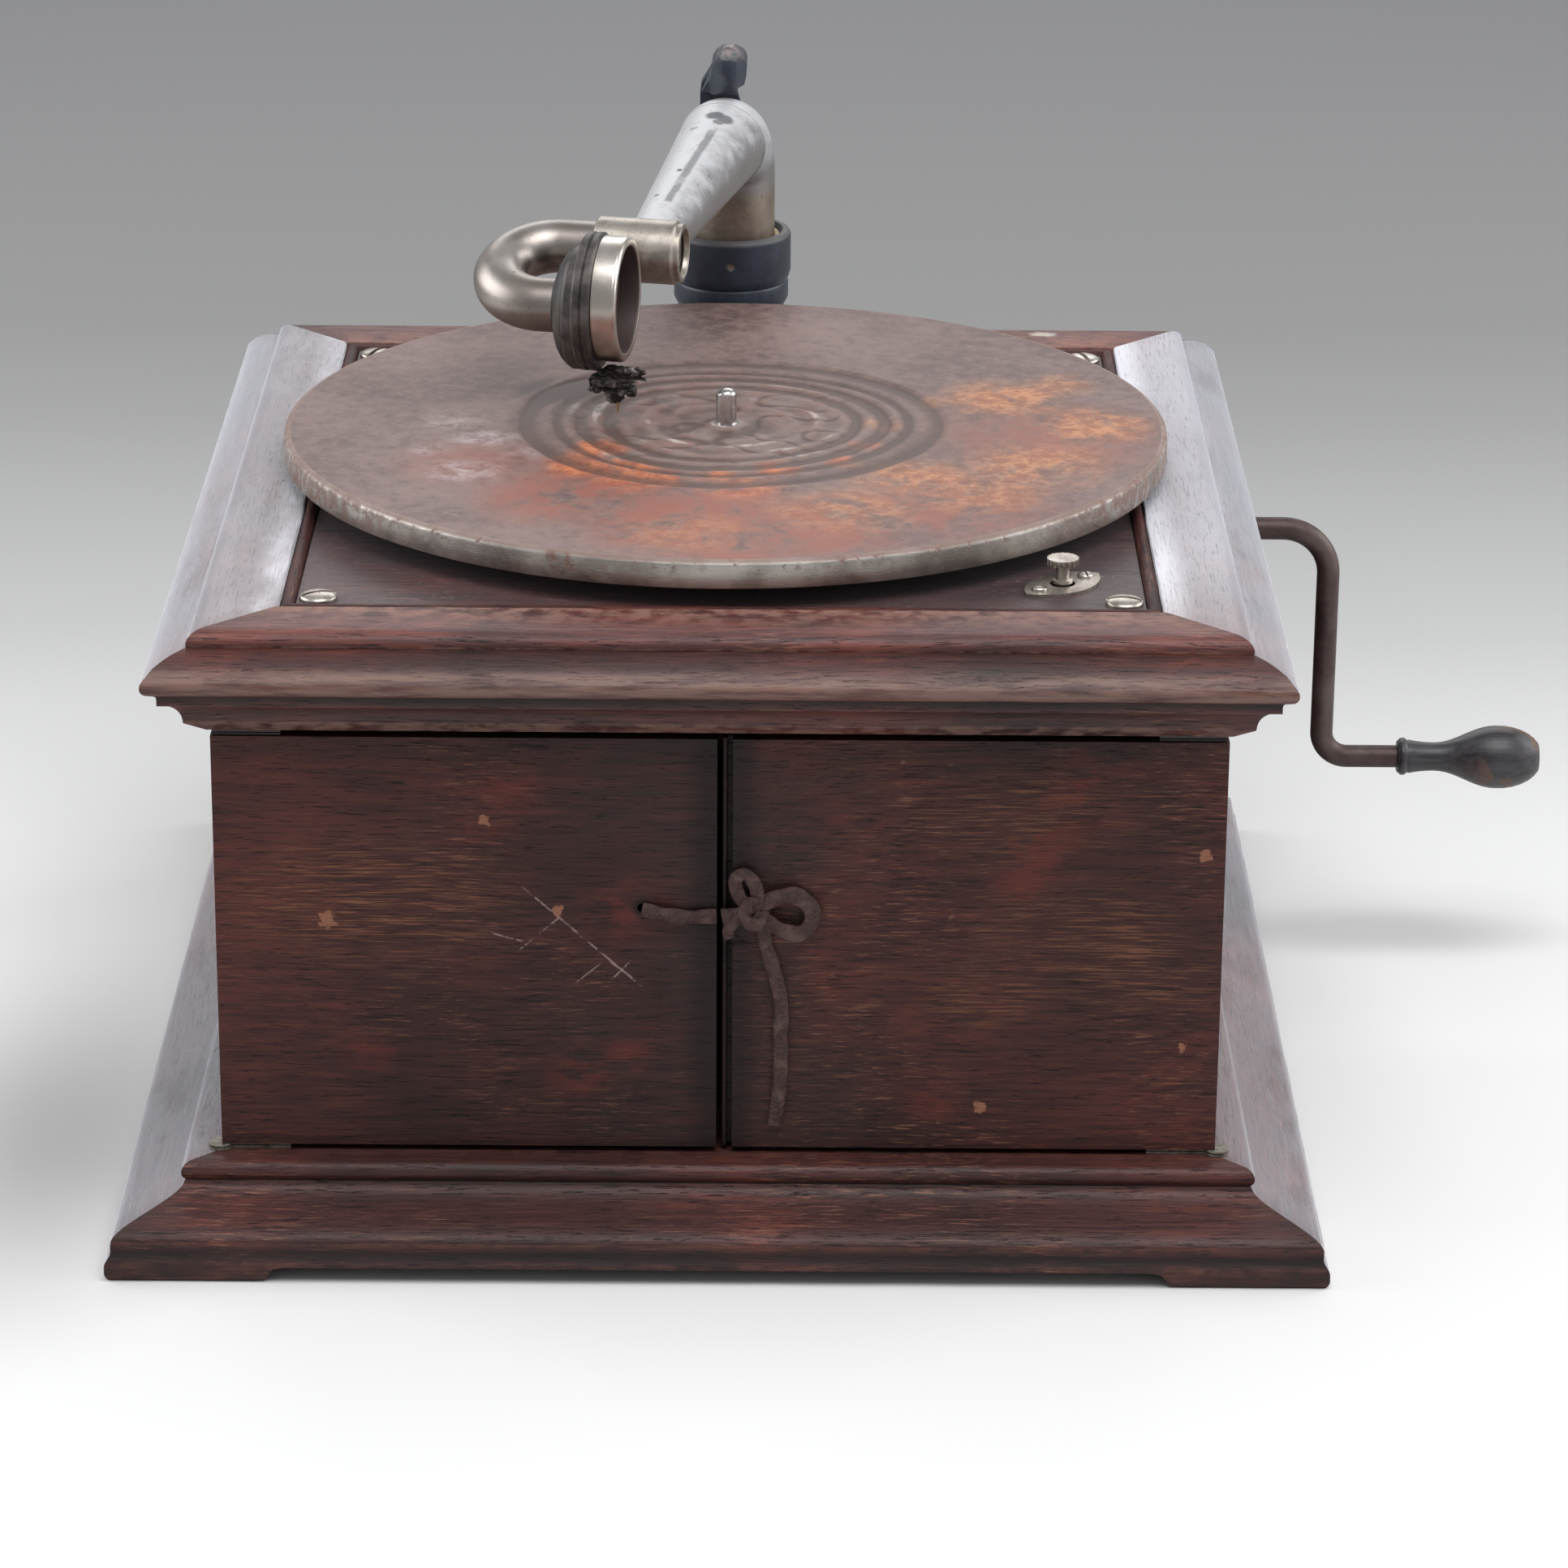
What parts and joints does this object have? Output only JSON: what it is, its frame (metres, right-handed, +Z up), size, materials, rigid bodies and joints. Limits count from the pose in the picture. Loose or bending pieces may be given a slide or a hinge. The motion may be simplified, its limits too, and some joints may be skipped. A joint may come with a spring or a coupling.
{
  "type": "tabletop_gramophone",
  "caption": "Tabletop gramophone with a moulded oak case, an inner horn behind two laced doors, a worn turntable, a curved tone arm with sound box and a side crank.",
  "frame": {"origin": "centre of the case on the table, at the foot of the plinth; -Y is the side with the doors", "axes": "+Z up along the turntable spindle, -Y towards the doors, +X towards the crank"},
  "size_m": [0.4964, 0.416, 0.3197],
  "materials": {
    "dark_oak": "satin",
    "oak": "satin",
    "nickel": "satin",
    "bright_arm": "gloss",
    "steel": "satin",
    "spring_steel": "satin",
    "brass": "satin",
    "black_iron": "satin",
    "dark_box": "satin",
    "worn_turntable": "matte",
    "rusty_crank": "matte",
    "black_wood": "satin",
    "mica": "satin",
    "leather": "matte"
  },
  "bodies": {
    "chassis": {"bottom_board": "dark_oak", "plinth_front": "dark_oak", "plinth_rear": "dark_oak", "plinth_left": "dark_oak", "plinth_right": "dark_oak", "case_left": "oak", "case_right": "oak", "case_back": "dark_oak", "cornice_front": "oak", "cornice_left": "oak", "cornice_right": "oak", "cornice_rear": "oak", "top_rails": "oak", "board_beading": "dark_oak", "board_cleats": "dark_oak", "motor_board": "dark_oak", "motor_board_screws": "steel", "hinge_plates": "brass", "horn_sides": "black_iron", "horn_covers": "black_iron", "horn_frame": "dark_oak", "horn_throat": "black_iron", "back_bracket": "black_iron", "bracket_screws": "steel", "arm_bushing": "brass", "motor_plates": "black_iron", "motor_bolts": "steel", "crank_escutcheon": "brass", "regulator_plate": "nickel"},
    "left_door": {"door_left": "oak", "door_left_plates": "brass", "lace_left": "leather"},
    "right_door": {"door_right": "oak", "door_right_plates": "brass", "lace_right": "leather"},
    "platter": {"turntable": "worn_turntable", "spindle": "nickel", "spindle_gears": "brass"},
    "barrel": {"spring_barrel": "steel", "mainspring": "spring_steel"},
    "winding_arbor": {"barrel_arbor": "steel"},
    "mid_wheel": {"mid_arbor": "steel"},
    "governor": {"governor_shaft": "brass", "governor_balls": "steel"},
    "brake": {"brake_lever": "brass"},
    "regulator": {"regulator_knob": "nickel"},
    "crank": {"winding_shaft": "steel", "crank_rod": "rusty_crank"},
    "grip": {"crank_grip": "black_wood"},
    "arm": {"tonearm": "bright_arm", "cross_tube": "nickel", "cross_tube_screw": "steel"},
    "soundbox": {"gooseneck": "nickel", "soundbox_back": "black_iron", "soundbox_body": "dark_box", "soundbox_ring": "nickel", "diaphragm": "mica", "stylus_bar": "steel", "needle": "nickel"},
    "needle_clamp": {"needle_screw": "nickel"}
  },
  "joints": [
    {"name": "door_left_swing", "type": "hinge", "parent": "chassis", "child": "left_door", "pos_m": [-0.1587, -0.1675, 0.0336], "axis": [0, 0, -1], "range_deg": [0, 110]},
    {"name": "door_right_swing", "type": "hinge", "parent": "chassis", "child": "right_door", "pos_m": [0.1587, -0.1675, 0.0336], "axis": [0, 0, 1], "range_deg": [0, 110]},
    {"name": "turntable_spin", "type": "hinge", "parent": "chassis", "child": "platter", "pos_m": [0, 0.0035, 0.186], "axis": [0, 0, 1], "continuous": true},
    {"name": "mid_wheel_turn", "type": "hinge", "parent": "chassis", "child": "mid_wheel", "pos_m": [-0.03166, 0.0236, 0.186], "axis": [0, 0, 1], "continuous": true},
    {"name": "barrel_turn", "type": "hinge", "parent": "chassis", "child": "barrel", "pos_m": [-0.024, 0.072, 0.186], "axis": [0, 0, 1], "continuous": true},
    {"name": "governor_turn", "type": "hinge", "parent": "chassis", "child": "governor", "pos_m": [0.03204, -0.015, 0.186], "axis": [0, 0, 1], "continuous": true},
    {"name": "crank_turn", "type": "hinge", "parent": "chassis", "child": "crank", "pos_m": [0.1637, 0.072, 0.169], "axis": [1, 0, 0], "continuous": true},
    {"name": "winding_arbor_turn", "type": "hinge", "parent": "chassis", "child": "winding_arbor", "pos_m": [-0.024, 0.072, 0.186], "axis": [0, 0, 1], "continuous": true},
    {"name": "grip_spin", "type": "hinge", "parent": "crank", "child": "grip", "pos_m": [0.2455, 0.072, 0.0816], "axis": [1, 0, 0], "continuous": true},
    {"name": "tonearm_swing", "type": "hinge", "parent": "chassis", "child": "arm", "pos_m": [0, 0.18, 0.2333], "axis": [0, 0, 1], "range_deg": [-24, 64]},
    {"name": "gooseneck_lift", "type": "hinge", "parent": "arm", "child": "soundbox", "pos_m": [-0.02544, 0.05149, 0.2761], "axis": [-0.981, 0.1942, 0], "range_deg": [0, 112]},
    {"name": "needle_screw_turn", "type": "hinge", "parent": "soundbox", "child": "needle_clamp", "pos_m": [-0.03751, 0.01371, 0.23675], "axis": [0.981, -0.1942, 0], "range_deg": [0, 720]},
    {"name": "regulator_turn", "type": "hinge", "parent": "chassis", "child": "regulator", "pos_m": [0.11101, -0.12149, 0.2115], "axis": [0, 0, 1], "range_deg": [0, 180]},
    {"name": "brake_lever_turn", "type": "hinge", "parent": "chassis", "child": "brake", "pos_m": [0.055, -0.035, 0.186], "axis": [0, 0, 1], "range_deg": [-2, 0]}
  ],
  "couplings": [
    {"joint": "mid_wheel_turn", "follows": "turntable_spin", "ratio": -0.25},
    {"joint": "barrel_turn", "follows": "turntable_spin", "ratio": 0.041667},
    {"joint": "governor_turn", "follows": "turntable_spin", "ratio": -6.4},
    {"joint": "winding_arbor_turn", "follows": "crank_turn", "ratio": 0.33333},
    {"joint": "brake_lever_turn", "follows": "regulator_turn", "ratio": -0.010556}
  ]
}
